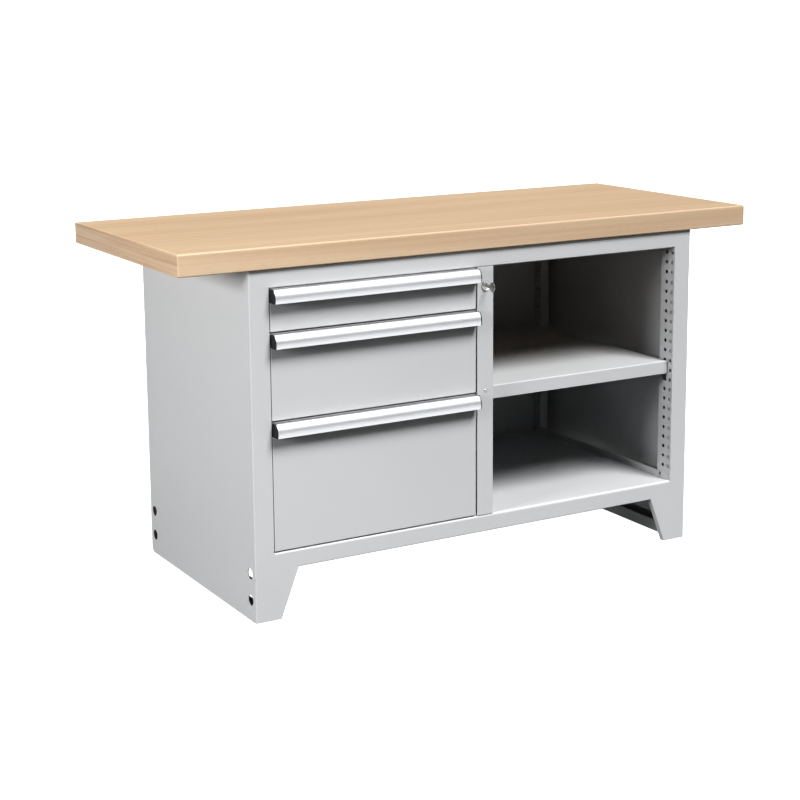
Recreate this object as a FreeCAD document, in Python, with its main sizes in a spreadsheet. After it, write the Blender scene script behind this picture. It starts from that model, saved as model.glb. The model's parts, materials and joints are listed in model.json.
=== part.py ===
import FreeCAD, Part
import Sketcher
import math
import os

# A steel workbench with a beech worktop, three drawers on telescopic runners on the left and an open
# bay with an adjustable shelf on the right.  Millimetres, +X right, +Y back, +Z up; the origin is on the
# floor, under the centre of the bounding box.

DIMENSIONS = {
    "worktop_width": 1550, "worktop_depth": 625, "worktop_thickness": 50, "worktop_round": 2.5,
    "bench_height": 850, "frame_width": 1216, "frame_depth": 612, "front_setback": 8,
    "post_width": 48, "stile_width": 45, "rail_height": 42, "foot_gap": 116,
    "sheet": 1.5, "bend": 2.5, "nosing": 6, "rail_flange": 40, "rail_lip": 15,
    "upright_depth": 52, "upright_flange": 30, "upright_foot": 130,
    "rear_depth": 30, "rear_flange": 22, "rear_column": 15, "foot_cut": 10, "sill_end": 12,
    "perforation_radius": 4.5, "perforation_pitch": 25, "perforation_low": 193,
    "perforation_rows": 23, "column_one": 9, "column_two": 30,
    "panel_hole_radius": 12.5, "panel_hole_inset": 26, "panel_hole_low": 49, "panel_hole_high": 111,
    "gusset_width": 60, "gusset_toe": 15, "gusset_top": 148, "gusset_rim": 15,
    "sill_width": 30, "sill_height": 80, "sill_slot": 20, "sill_slot_inset": 75,
    "upstand": 17, "back_lap": 25,
    "drawer_unit": 100, "drawer_gap": 3.5, "post_gap": 1.5, "front_depth": 18, "front_wall": 1.2,
    "front_round": 2,
    "box_wall": 1, "box_depth": 540, "box_lift": 12, "box_drop": 35, "runner_width": 12.7,
    "runner_length": 500, "runner_height": 35, "runner_wall": 1.2, "runner_inset": 20,
    "runner_hold": 8, "runner_lift": 4, "ball_race": 4, "fixed_far": 9, "middle_near": 3,
    "middle_far": 10, "inner_near": 6,
    "handle_height": 31, "handle_reach": 26, "handle_radius": 28, "handle_drop": 22,
    "handle_wall": 2, "handle_leg": 24, "cap": 2.5,
    "shelf_top": 467, "shelf_height": 32, "shelf_setback": 18, "shelf_side_gap": 1.5, "shelf_back_gap": 3,
    "shelf_lip_inset": 1, "clip_reach": 12, "clip_width": 16, "clip_plate": 2, "clip_wall": 1.2,
    "clip_drop": 20, "clip_gap": 0.3,
    "lock_height": 713, "lock_flange_radius": 12, "lock_flange": 3, "lock_barrel_radius": 9.5,
    "lock_barrel": 28, "plug_radius": 6.5, "plug_clearance": 0.05, "plug_length": 32, "key_slot": 1.4,
    "slot_end": 4, "key_end": 5, "key_clearance": 0.1, "lock_edge": 1,
    "key_reach": 40, "key_plate": 1.2, "key_blade": 7, "bow_radius": 11, "bow_hole": 3.5,
    "cam_radius": 8, "cam_plate": 2, "cam_pin_radius": 2, "bar_setback": 40, "bar_plate": 2,
    "bar_width": 32, "bar_travel": 8, "finger_reach": 32, "finger_height": 8,
    "finger_clearance": 1.5, "catch_height": 10, "catch_gap": 3, "catch_plate": 2, "bar_foot": 12,
    "bar_head": 24, "bar_window": 3, "cam_pin_end": 2, "finger_root": 2,
    "screw_radius": 2.5, "screw_head_radius": 4.5, "screw_head": 2, "screw_edge": 1, "shank": 5,
    "wood_shank": 25, "screw_clearance": 0.2, "stile_screw_drop": 6, "flange_screw_shift": 5,
    "angle_screw_front": 100, "angle_screw_rear": 130, "back_screw_inset": 13, "back_screw_low": 60,
    "back_screw_pitch": 130, "floor_screw_inset": 38, "floor_screw_lift": 1,
}
DRAWERS = {"bottom": (0, 3), "middle": (3, 5), "top": (5, 6)}  # first and last grid line of each front

doc = FreeCAD.newDocument("workbench")
sheet = doc.addObject("Spreadsheet::Sheet", "dims")


class Size:
    """A length that carries its expression in the sheet's cells together with its number."""

    def __init__(self, text, number):
        self.text = text
        self.number = float(number)

    def combined(self, sign, other, number):
        return Size(f"({self.text} {sign} {size(other).text})", number)

    def __add__(self, other):
        return self.combined("+", other, self.number + size(other).number)

    def __sub__(self, other):
        return self.combined("-", other, self.number - size(other).number)

    def __mul__(self, other):
        return self.combined("*", other, self.number * size(other).number)

    def __truediv__(self, other):
        return self.combined("/", other, self.number / size(other).number)

    def __neg__(self):
        return Size(f"(0 - {self.text})", -self.number)

    def root(self):
        return Size(f"sqrt({self.text})", math.sqrt(self.number))


def size(value):
    return value if isinstance(value, Size) else Size(f"({value:g})", value)


def cell(name):
    return Size(f"dims.{name}", DIMENSIONS[name])


for row, (name, number) in enumerate(DIMENSIONS.items(), start=1):
    sheet.set(f"A{row}", name)
    sheet.set(f"B{row}", f"{number:g}")
    sheet.setAlias(f"B{row}", name)
doc.recompute()

# ---- places worked out from the driving dimensions ----

sheet_metal = cell("sheet")
half_depth = (cell("worktop_depth") + cell("key_reach") - cell("front_setback")) / 2
front = cell("key_reach") - half_depth
back = front + cell("frame_depth")
side = cell("frame_width") / 2
bay = side - cell("post_width")
stile = cell("stile_width") / 2
frame_top = cell("bench_height") - cell("worktop_thickness")
floor_top = cell("foot_gap") + cell("rail_height")
rail_bottom = frame_top - cell("rail_height")
rear = back - sheet_metal * 2
upright_front = front + sheet_metal


# ---- modelling helpers ----

def origin_plane(body, plane):
    return next(item for item in body.Origin.OriginFeatures if item.Role == f"{plane}_Plane")


def new_body(label):
    body = doc.addObject("PartDesign::Body", label)
    body.Label = label
    return body


def new_sketch(body, plane, at):
    """A sketch parallel to an origin plane, through the coordinate `at` on the plane's normal."""
    sketch = body.newObject("Sketcher::SketchObject", f"{body.Name}_sketch")
    sketch.AttachmentSupport = (origin_plane(body, plane), [""])
    sketch.MapMode = "FlatFace"
    height = -size(at) if plane == "XZ" else size(at)
    sketch.setExpression("AttachmentOffset.Base.z", height.text)
    return sketch


def constrain(sketch, kind, value, *where):
    index = sketch.addConstraint(Sketcher.Constraint(kind, *where, value.number))
    sketch.setExpression(f"Constraints[{index}]", value.text)


def draw_loop(sketch, corners):
    """A closed outline of (x, y) corners; a third entry is the radius of an arc to the next corner,
    clockwise when it is given with a fourth entry of -1, else counter-clockwise."""
    first = sketch.GeometryCount
    count = len(corners)
    points = [(size(c[0]), size(c[1])) for c in corners]
    ends = []
    for index, corner in enumerate(corners):
        here = FreeCAD.Vector(points[index][0].number, points[index][1].number, 0)
        there_x, there_y = points[(index + 1) % count]
        there = FreeCAD.Vector(there_x.number, there_y.number, 0)
        if len(corner) == 2:
            sketch.addGeometry(Part.LineSegment(here, there), False)
            ends.append((1, 2))
            continue
        turn = corner[3] if len(corner) == 4 else 1
        start, stop = (here, there) if turn > 0 else (there, here)
        chord = stop - start
        radius = size(corner[2]).number
        rise = math.sqrt(radius ** 2 - chord.Length ** 2 / 4)
        centre = (start + stop) / 2 + FreeCAD.Vector(-chord.y, chord.x, 0).normalize() * rise
        circle = Part.Circle(centre, FreeCAD.Vector(0, 0, 1), radius)
        angles = [math.atan2(p.y - centre.y, p.x - centre.x) for p in (start, stop)]
        if angles[1] < angles[0]:
            angles[1] += 2 * math.pi
        sketch.addGeometry(Part.ArcOfCircle(circle, angles[0], angles[1]), False)
        ends.append((1, 2) if turn > 0 else (2, 1))
    for index, corner in enumerate(corners):
        following = (index + 1) % count
        sketch.addConstraint(Sketcher.Constraint(
            "Coincident", first + index, ends[index][1], first + following, ends[following][0]))
        constrain(sketch, "DistanceX", points[index][0], -1, 1, first + index, ends[index][0])
        constrain(sketch, "DistanceY", points[index][1], -1, 1, first + index, ends[index][0])
        if len(corner) > 2:
            constrain(sketch, "Radius", size(corner[2]), first + index)


def draw_circle(sketch, x, y, radius):
    x, y, radius = size(x), size(y), size(radius)
    centre = FreeCAD.Vector(x.number, y.number, 0)
    index = sketch.addGeometry(Part.Circle(centre, FreeCAD.Vector(0, 0, 1), radius.number), False)
    constrain(sketch, "DistanceX", x, -1, 1, index, 3)
    constrain(sketch, "DistanceY", y, -1, 1, index, 3)
    constrain(sketch, "Radius", radius, index)


def draw(sketch, shapes):
    """Draw circles, given as ("circle", x, y, radius), and closed outlines, given as lists."""
    for shape in shapes:
        if shape[0] == "circle":
            draw_circle(sketch, *shape[1:])
        else:
            draw_loop(sketch, shape)


def pad(body, plane, low, high, *shapes):
    """Add material between two coordinates on the plane's normal."""
    low, high = size(low), size(high)
    sketch = new_sketch(body, plane, high if plane == "XZ" else low)
    draw(sketch, shapes)
    feature = body.newObject("PartDesign::Pad", f"{body.Name}_pad")
    feature.Profile = sketch
    feature.setExpression("Length", (high - low).text)
    doc.recompute()
    return feature


def pocket(body, plane, low, high, *shapes):
    """Take material away between two coordinates on the plane's normal."""
    low, high = size(low), size(high)
    before = body.Shape.Volume
    sketch = new_sketch(body, plane, low if plane == "XZ" else high)
    draw(sketch, shapes)
    feature = body.newObject("PartDesign::Pocket", f"{body.Name}_pocket")
    feature.Profile = sketch
    feature.setExpression("Length", (high - low).text)
    doc.recompute()
    if body.Shape.Volume >= before:
        raise RuntimeError(f"a pocket in {body.Label} cuts nothing")
    return feature


def fillet(body, radius, chosen):
    """Round the edges for which chosen(edge) is true."""
    base = body.Tip
    edges = [f"Edge{i}" for i, edge in enumerate(base.Shape.Edges, start=1) if chosen(edge)]
    feature = body.newObject("PartDesign::Fillet", f"{body.Name}_fillet")
    feature.Base = (base, edges)
    feature.setExpression("Radius", size(radius).text)
    doc.recompute()


def rectangle(x_low, x_high, y_low, y_high):
    return [(x_low, y_low), (x_high, y_low), (x_high, y_high), (x_low, y_high)]


def block(label, x_low, x_high, y_low, y_high, z_low, z_high):
    body = new_body(label)
    pad(body, "XY", z_low, z_high, rectangle(x_low, x_high, y_low, y_high))
    return body


AXES = {"XY": (0, 1), "XZ": (0, 2), "YZ": (1, 2)}


def along_normal_through(plane, corner):
    """A test for straight edges that run along the plane's normal through a corner."""
    across = AXES[plane]

    def test(edge):
        ends = [vertex.Point for vertex in edge.Vertexes]
        return len(ends) == 2 and all(
            abs(end[axis] - size(value).number) < 1e-4
            for end in ends for axis, value in zip(across, corner))
    return test


def folded(label, plane, low, high, path, thickness, bends=None):
    """Sheet metal bent along a right-angled path, its thickness laid to the left of the path
    (to the right when it is negative), extruded between two coordinates on the plane's normal.
    `bends` holds the outer radius of each bend in turn."""
    thickness = size(thickness)
    bends = bends or [cell("bend")] * (len(path) - 2)
    wall = thickness if thickness.number > 0 else -thickness
    points = [(size(x), size(y)) for x, y in path]
    ways = []
    for (x0, y0), (x1, y1) in zip(points, points[1:]):
        run, rise = x1.number - x0.number, y1.number - y0.number
        length = math.hypot(run, rise)
        ways.append((round(run / length), round(rise / length)))
    shifted = []
    for index, (x, y) in enumerate(points):
        touching = set(ways[max(index - 1, 0):index + 1])
        shifted.append((x - thickness * sum(way[1] for way in touching),
                        y + thickness * sum(way[0] for way in touching)))
    body = new_body(label)
    pad(body, plane, low, high, points + shifted[::-1])
    for index, bend in enumerate(bends, start=1):
        (ax, ay), (bx, by) = ways[index - 1], ways[index]
        turns_towards_wall = (ax * by - ay * bx > 0) == (thickness.number > 0)
        outer, inner = points[index], shifted[index]
        if not turns_towards_wall:
            outer, inner = inner, outer
        fillet(body, bend, along_normal_through(plane, outer))
        fillet(body, bend - wall, along_normal_through(plane, inner))
    return body


def perforate(body, x_low, x_high, columns):
    """Columns of round holes along X at the shelf pitch, from the lowest row upwards."""
    feature = pocket(body, "YZ", x_low, x_high,
                     *[("circle", y, cell("perforation_low"), cell("perforation_radius"))
                       for y in columns])
    pattern = body.newObject("PartDesign::LinearPattern", f"{body.Name}_rows")
    pattern.Originals = [feature]
    pattern.Direction = (feature.Profile[0], ["V_Axis"])
    pattern.setExpression("Length", (cell("perforation_pitch") * (cell("perforation_rows") - 1)).text)
    pattern.setExpression("Occurrences", cell("perforation_rows").text)
    body.Tip = pattern
    doc.recompute()


def group(label, members):
    compound = doc.addObject("Part::Compound", label)
    compound.Label = label
    compound.Links = members
    doc.recompute()
    return compound


NODES = []


def node(item):
    NODES.append(item)
    return item


# ---- worktop ----

worktop = node(block("worktop", -cell("worktop_width") / 2, cell("worktop_width") / 2,
                     front - cell("front_setback"),
                     front - cell("front_setback") + cell("worktop_depth"),
                     frame_top, cell("bench_height")))
fillet(worktop, cell("worktop_round"), lambda edge: True)


# ---- side panels, uprights, sills and gussets, one of each for the left and the right end ----

def side_panel(label, hand):
    path = [(bay * hand, back), (side * hand, back), (side * hand, front), (bay * hand, front)]
    panel = folded(label, "XY", 0, frame_top, path, sheet_metal * -hand)
    inset = cell("panel_hole_inset")
    holes = [("circle", y, z, cell("panel_hole_radius"))
             for y in (front + inset, back - inset)
             for z in (cell("panel_hole_low"), cell("panel_hole_high"))]
    edge = sorted((side * hand, (side - sheet_metal) * hand), key=lambda item: item.number)
    pocket(panel, "YZ", edge[0], edge[1], *holes)
    ends = sorted((bay * hand, side * hand), key=lambda item: item.number)
    cut = cell("foot_cut")
    pocket(panel, "YZ", ends[0], ends[1], [(back - cut, 0), (back, 0), (back, cut)])
    return panel


def upright(label, hand, face, way, depth, flange, columns):
    """A perforated channel behind a post; its front or rear face lies at `face`, depth along way."""
    deep = face + depth * way
    out = (bay + flange) * hand
    path = [(out, face), (bay * hand, face), (bay * hand, deep), (out, deep)]
    post = folded(label, "XY", cell("upright_foot"), frame_top, path, sheet_metal * (-hand * way))
    edge = sorted((bay * hand, (bay + sheet_metal) * hand), key=lambda item: item.number)
    perforate(post, edge[0], edge[1], [face + column * way for column in columns])
    return post


def sill(label, hand):
    """The channel along the foot of a side panel, with a long slot in its inner wall."""
    outer = (side - sheet_metal) * hand
    inner = (side - sheet_metal - cell("sill_width")) * hand
    path = [(outer, 0), (inner, 0), (inner, cell("sill_height")), (outer, cell("sill_height"))]
    rail = folded(label, "XZ", front + cell("bend"), back - cell("sill_end"), path, sheet_metal * -hand)
    middle = cell("sill_height") / 2
    half_slot = cell("sill_slot") / 2
    edge = sorted((inner, inner + sheet_metal * hand), key=lambda item: item.number)
    pocket(rail, "YZ", edge[0], edge[1],
           rectangle(front + cell("sill_slot_inset"), back - cell("sill_slot_inset"),
                     middle - half_slot, middle + half_slot))
    return rail


def gusset(label, hand):
    """A corner plate under the end of the bottom rail, with a rim along its slanted edge."""
    inner = bay * hand
    toe = (bay - cell("gusset_toe")) * hand
    wide = (bay - cell("gusset_width")) * hand
    knee = cell("foot_gap")
    top = cell("gusset_top")
    plate = new_body(label)
    pad(plate, "XZ", front, front + sheet_metal,
        [(inner, 0), (toe, 0), (wide, knee), (wide, top), (inner, top)])
    lap = sheet_metal * hand
    pad(plate, "XZ", front, front + cell("gusset_rim"),
        [(toe, 0), (wide, knee), (wide + lap, knee), (toe + lap, 0)])
    pad(plate, "XZ", front, front + cell("gusset_rim"),
        rectangle(inner - lap, inner, 0, top) if hand > 0 else rectangle(inner, inner - lap, 0, top))
    return plate


front_columns = [cell("column_one"), cell("column_two")]
rear_columns = [cell("rear_column")]
for end, hand in (("left", -1), ("right", 1)):
    node(side_panel(f"side_panel_{end}", hand))
    node(upright(f"upright_front_{end}", hand, upright_front, 1, cell("upright_depth"),
                 cell("upright_flange"), [column - sheet_metal for column in front_columns]))
    node(upright(f"upright_rear_{end}", hand, rear, -1, cell("rear_depth"), cell("rear_flange"),
                 rear_columns))
    node(sill(f"sill_{end}", hand))
    node(gusset(f"gusset_{end}", hand))

# ---- rails, floor, back and partition ----

node(folded("top_rail_front", "YZ", -bay, bay,
            [(front + cell("rail_flange"), frame_top), (front, frame_top), (front, rail_bottom),
             (front + cell("rail_lip"), rail_bottom)], sheet_metal))
node(folded("top_rail_rear", "YZ", -bay, bay,
            [(back, rail_bottom), (back, frame_top), (back - cell("rail_flange"), frame_top)],
            sheet_metal))

floor_panel = node(folded(
    "floor_panel", "YZ", -bay, bay,
    [(back, cell("foot_gap")), (back, floor_top), (front, floor_top), (front, cell("foot_gap")),
     (front + cell("rail_lip"), cell("foot_gap"))], sheet_metal,
    [cell("bend"), cell("nosing"), cell("bend")]))
notch = cell("gusset_width")
for low, high in ((-bay, notch - bay), (bay - notch, bay)):
    pocket(floor_panel, "XZ", front, front + cell("rail_lip"),
           rectangle(low, high, cell("foot_gap"), cell("gusset_top")))
for low, high in ((-bay, sheet_metal - bay), (bay - sheet_metal, bay)):
    pad(floor_panel, "XY", floor_top - sheet_metal, floor_top + cell("upstand"),
        rectangle(low, high, front + cell("nosing"), rear))

back_reach = bay + cell("back_lap")
node(block("back_panel", -back_reach, back_reach, rear, rear + sheet_metal,
           floor_top, frame_top - cell("bend") * 2))

for name, face, way, depth, columns in (("stile", front, 1, cell("upright_depth"), front_columns),
                                        ("stile_rear", rear, -1, cell("rear_depth"), rear_columns)):
    deep = face + (depth + sheet_metal) * way
    channel = node(folded(name, "XY", floor_top, rail_bottom,
                          [(-stile, deep), (-stile, face), (stile, face), (stile, deep)],
                          sheet_metal * way))
    perforate(channel, -stile, stile, [face + column * way for column in columns])
    if way > 0:
        pocket(channel, "XZ", front, front + sheet_metal,
               ("circle", 0, cell("lock_height"), cell("lock_barrel_radius") + cell("plug_clearance")))
        pocket(channel, "XZ", front, front + sheet_metal,
               ("circle", 0, cell("shelf_top") - cell("stile_screw_drop"),
                cell("screw_radius") + cell("screw_clearance")))

node(block("partition", stile - sheet_metal, stile,
           front + cell("upright_depth") + sheet_metal, rear - cell("rear_depth") - sheet_metal,
           floor_top, rail_bottom))

for end, hand in (("left", -1), ("right", 1)):
    wall = (side - sheet_metal) * hand
    node(folded(f"top_angle_{end}", "XZ",
                upright_front + cell("upright_depth"), rear - cell("rear_depth"),
                [(wall, rail_bottom), (wall, frame_top), (wall - cell("rail_flange") * hand, frame_top)],
                sheet_metal * hand))
node(folded("top_crossbar", "XZ", front + cell("rail_flange"), back - cell("rail_flange"),
            [(-cell("rail_lip"), rail_bottom), (-cell("rail_lip"), frame_top),
             (cell("rail_lip"), frame_top), (cell("rail_lip"), rail_bottom)], -sheet_metal))


# ---- drawers and their telescopic runners ----

bay_middle = -(bay + stile) / 2


def runner_pair(label, reach, far, half_height, y_low, y_high, level, opening):
    """A member of both runners of a drawer: a channel `reach` to `far` from the bay's side wall."""
    half_bay = (bay - stile) / 2
    members = []
    for hand in (-1, 1):
        near_x = bay_middle + (half_bay - reach) * hand
        far_x = bay_middle + (half_bay - far) * hand
        web, lip = (near_x, far_x) if opening == "inward" else (far_x, near_x)
        turn = hand if opening == "inward" else -hand
        path = [(lip, level + half_height), (web, level + half_height),
                (web, level - half_height), (lip, level - half_height)]
        members.append(folded(f"{label}_{'left' if hand < 0 else 'right'}", "XZ",
                              y_low, y_high, path,
                              cell("runner_wall") * -turn, [cell("runner_wall") * 1.5] * 2))
    return group(label, members)


def handle_outline(y_face, z_top, hollow):
    """Section of the grip profile: a flat top, an arched face and, when hollow, a fixing leg."""
    radius, drop, tall = cell("handle_radius"), cell("handle_drop"), cell("handle_height")
    wall = cell("handle_wall")
    centre = y_face - cell("handle_reach") + radius
    below = tall - drop

    def arc_start(r, fall):
        return centre - (r * r - fall * fall).root()

    outer = [(arc_start(radius, drop), z_top, radius), (arc_start(radius, below), z_top - tall)]
    if not hollow:
        return [(y_face, z_top)] + outer + [(y_face, z_top - tall)]
    inside = radius - wall
    return [(y_face, z_top)] + outer + [
        (arc_start(inside, below), z_top - tall, inside, -1),
        (arc_start(inside, drop - wall), z_top - wall),
        (y_face - wall, z_top - wall), (y_face - wall, z_top - cell("handle_leg")),
        (y_face, z_top - cell("handle_leg"))]


def drawer(name, low_line, high_line):
    gap = cell("drawer_gap")
    left, right = cell("post_gap") - bay, -stile - gap
    z_low = floor_top + cell("drawer_unit") * low_line + gap / 2
    z_high = floor_top + cell("drawer_unit") * high_line - gap / 2
    depth = cell("front_depth")
    wall = cell("front_wall")

    panel = node(block(f"drawer_{name}_front", left, right, front, front + depth, z_low, z_high))
    fillet(panel, cell("front_round"),
           lambda edge: all(abs(v.Point.y - front.number) < 1e-4 for v in edge.Vertexes))
    pocket(panel, "XZ", front + wall, front + depth,
           rectangle(left + wall, right - wall, z_low + wall, z_high - wall))

    box_left = cell("runner_width") - bay
    box_right = -stile - cell("runner_width")
    box_low = z_low + cell("box_lift")
    box_high = z_high - cell("box_drop") + cell("box_lift")
    box_front = front + depth
    skin = cell("box_wall")
    tray = node(block(f"drawer_{name}_box", box_left, box_right, box_front,
                      box_front + cell("box_depth"), box_low, box_high))
    fillet(tray, cell("front_round"),
           lambda edge: all(abs(v.Point.z - box_low.number) < 1e-4 for v in edge.Vertexes))
    pocket(tray, "XY", box_low + skin, box_high,
           rectangle(box_left + skin, box_right - skin, box_front + skin,
                     box_front + cell("box_depth") - skin))

    cap = cell("cap")
    grip = node(new_body(f"drawer_{name}_handle"))
    pad(grip, "YZ", left + cap, right - cap, handle_outline(front, z_high, True))
    caps = []
    for end, x_low in (("left", left), ("right", right - cap)):
        plug = new_body(f"drawer_{name}_cap_{end}")
        pad(plug, "YZ", x_low, x_low + cap, handle_outline(front, z_high, False))
        caps.append(plug)
    node(group(f"drawer_{name}_handle_caps", caps))

    level = box_low + cell("runner_height") / 2 + cell("runner_lift")
    y_low = front + cell("runner_inset")
    y_high = y_low + cell("runner_length")
    half = cell("runner_height") / 2
    race = cell("ball_race")
    node(runner_pair(f"runner_{name}_fixed", size(0), cell("fixed_far"), half, y_low,
                     rear - cell("runner_hold"), level, "inward"))
    node(runner_pair(f"runner_{name}_middle", cell("middle_near"), cell("middle_far"), half - race,
                     y_low, y_high, level, "inward"))
    node(runner_pair(f"runner_{name}_inner", cell("inner_near"), cell("runner_width"),
                     half - race * 2, y_low, y_high, level, "outward"))

    clearance = cell("finger_clearance")
    catch_low = level + half + cell("finger_height") + clearance * 2
    catch_front = front + cell("bar_setback") + cell("bar_plate") + clearance
    node(block(f"drawer_{name}_catch", box_right, -stile - cell("catch_gap"), catch_front,
               catch_front + cell("catch_plate"), catch_low, catch_low + cell("catch_height")))
    return catch_low


catches = [drawer(name, low, high) for name, (low, high) in DRAWERS.items()]

# ---- shelf and its clips ----

shelf_left = stile + cell("shelf_side_gap")
shelf_right = bay - cell("shelf_side_gap")
shelf_front = front + cell("shelf_setback")
shelf_back = rear - cell("shelf_back_gap")
shelf_low = cell("shelf_top") - cell("shelf_height")
shelf = node(block("shelf", shelf_left, shelf_right, shelf_front, shelf_back, shelf_low,
                   cell("shelf_top")))
fillet(shelf, cell("bend"),
       lambda edge: all(abs(v.Point.z - cell("shelf_top").number) < 1e-4 for v in edge.Vertexes))
lip = cell("rail_lip")
pocket(shelf, "XY", shelf_low, cell("shelf_top") - sheet_metal,
       rectangle(shelf_left + sheet_metal, shelf_right - sheet_metal, shelf_front + sheet_metal,
                 shelf_back - sheet_metal))
for y_low, y_high in ((shelf_front, shelf_front + lip), (shelf_back - lip, shelf_back)):
    inset = cell("shelf_lip_inset")
    pad(shelf, "XY", shelf_low, shelf_low + sheet_metal,
        rectangle(shelf_left + inset, shelf_right - inset, y_low + inset, y_high - inset))

clips = []
clip_top = shelf_low - cell("clip_gap")
for x_wall, way in ((stile, 1), (bay, -1)):
    for y_middle in (front + cell("column_two"), rear - cell("rear_column")):
        clip = new_body(f"shelf_clip_{len(clips)}")
        reach = sorted((x_wall, x_wall + cell("clip_reach") * way), key=lambda item: item.number)
        plate = sorted((x_wall, x_wall + cell("clip_wall") * way), key=lambda item: item.number)
        half_width = cell("clip_width") / 2
        pad(clip, "XY", clip_top - cell("clip_plate"), clip_top,
            rectangle(reach[0], reach[1], y_middle - half_width, y_middle + half_width))
        pad(clip, "XY", clip_top - cell("clip_drop"), clip_top,
            rectangle(plate[0], plate[1], y_middle - half_width, y_middle + half_width))
        clips.append(clip)
node(group("shelf_clips", clips))

# ---- lock, key, cam and locking bar in the stile ----

lock_z = cell("lock_height")
plug_bore = cell("plug_radius") + cell("plug_clearance")
housing = node(new_body("lock_housing"))
pad(housing, "XZ", front - cell("lock_flange"), front,
    ("circle", 0, lock_z, cell("lock_flange_radius")))
pad(housing, "XZ", front - cell("lock_flange"), front + cell("lock_barrel"),
    ("circle", 0, lock_z, cell("lock_barrel_radius")))
pocket(housing, "XZ", front - cell("lock_flange"), front + cell("lock_barrel"),
       ("circle", 0, lock_z, plug_bore))
flange_face = (front - cell("lock_flange")).number
fillet(housing, cell("lock_edge"),
       lambda edge: abs(edge.BoundBox.XLength - cell("lock_flange_radius").number * 2) < 1e-3
       and abs(edge.Vertexes[0].Point.y - flange_face) < 1e-4)

plug_back = front - cell("lock_flange") + cell("plug_length")
half_blade = cell("key_blade") / 2
core = node(new_body("lock_plug"))
pad(core, "XZ", front - cell("lock_flange"), plug_back, ("circle", 0, lock_z, cell("plug_radius")))
half_slot = cell("key_slot") / 2
slot_half = half_blade + cell("key_clearance")
pocket(core, "XZ", front - cell("lock_flange"), front + cell("lock_barrel") - cell("slot_end"),
       rectangle(-half_slot, half_slot, lock_z - slot_half, lock_z + slot_half))

key = node(new_body("key"))
half_plate = cell("key_plate") / 2
bow_y = front - cell("key_reach") + cell("bow_radius")
pad(key, "YZ", -half_plate, half_plate, ("circle", bow_y, lock_z, cell("bow_radius")))
pad(key, "YZ", -half_plate, half_plate,
    rectangle(bow_y, front + cell("lock_barrel") - cell("key_end"), lock_z - half_blade,
              lock_z + half_blade))
pocket(key, "YZ", -half_plate, half_plate,
       ("circle", bow_y - cell("bow_radius") / 2 + 1, lock_z, cell("bow_hole")))

cam = node(new_body("lock_cam"))
cam_back = plug_back + cell("cam_plate")
reach = cell("cam_radius")
tab = cell("cam_pin_radius") * 2
pad(cam, "XZ", plug_back, cam_back, ("circle", 0, lock_z, cell("plug_radius")))
pad(cam, "XZ", plug_back, cam_back, rectangle(0, reach + tab, lock_z - tab, lock_z + tab))
bar_front = front + cell("bar_setback")
bar_back = bar_front + cell("bar_plate")
pad(cam, "XZ", plug_back, bar_back + cell("cam_pin_end"),
    ("circle", reach, lock_z, cell("cam_pin_radius")))

bar = node(new_body("lock_bar"))
half_bar = cell("bar_width") / 2
finger = cell("finger_height")
window = cell("cam_pin_radius") + cell("bar_window")
pad(bar, "XZ", bar_front, bar_back,
    rectangle(-half_bar, half_bar, floor_top + cell("bar_foot"), lock_z + cell("bar_head")))
pocket(bar, "XZ", bar_front, bar_back,
       rectangle(-window, reach + window, lock_z - window, lock_z + window))
clearance = cell("finger_clearance")
for catch_low in catches:
    finger_top = catch_low - clearance
    pad(bar, "XZ", bar_front, bar_back,
        rectangle(-cell("finger_reach"), cell("finger_root") - half_bar, finger_top - finger,
                  finger_top))
    pocket(doc.getObject("stile"), "YZ", -stile, sheet_metal - stile,
           rectangle(bar_front - clearance, bar_back + clearance, finger_top - finger - clearance,
                     finger_top + cell("bar_travel") + clearance))


# ---- fasteners ----

def screws(label, places, shank):
    """Pan-head screws at (x, y, z, axis, way): the head sits on the way's side, the shank behind it."""
    plane_of = {"x": "YZ", "y": "XZ", "z": "XY"}
    members = []
    for x, y, z, axis, way in places:
        screw = new_body(f"{label}_{len(members)}")
        at = {"x": x, "y": y, "z": z}
        face = size(at.pop(axis))
        centre = [size(value) for value in at.values()]
        head_edge = face + cell("screw_head") * way
        head = sorted((face, head_edge), key=lambda item: item.number)
        stem = sorted((face, face - size(shank) * way), key=lambda item: item.number)
        pad(screw, plane_of[axis], head[0], head[1], ("circle", *centre, cell("screw_head_radius")))
        pad(screw, plane_of[axis], stem[0], stem[1], ("circle", *centre, cell("screw_radius")))
        fillet(screw, cell("screw_edge"), lambda edge: all(
            abs(getattr(v.Point, axis) - head_edge.number) < 1e-4 for v in edge.Vertexes))
        members.append(screw)
    return node(group(label, members))


shift = cell("flange_screw_shift")
flange_middle = cell("rail_flange") / 2 + shift
under_flange = frame_top - sheet_metal
angle_x = side - sheet_metal - cell("rail_flange") / 2 - shift
screws("worktop_screws",
       [(x, y, under_flange, "z", -1) for x in (-bay * 0.75, -bay * 0.25, bay * 0.25, bay * 0.75)
        for y in (front + flange_middle, back - flange_middle)]
       + [(angle_x * hand, y, under_flange, "z", -1) for hand in (-1, 1)
          for y in (-cell("angle_screw_front"), cell("angle_screw_rear"))], cell("wood_shank"))
screws("back_panel_screws",
       [((bay + cell("back_screw_inset")) * hand, back,
         floor_top + cell("back_screw_low") + cell("back_screw_pitch") * step, "y", 1)
        for hand in (-1, 1) for step in range(5)], cell("shank"))
screws("floor_screws",
       [((bay - sheet_metal) * hand, y,
         floor_top + cell("upstand") / 2 + cell("floor_screw_lift"), "x", -hand)
        for hand in (-1, 1) for y in (front + cell("floor_screw_inset"),
                                      rear - cell("rear_column"))], cell("shank"))
screws("stile_screw", [(0, front, cell("shelf_top") - cell("stile_screw_drop"), "y", -1)],
       cell("shank"))

# ---- check everything and write the files ----

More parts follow.
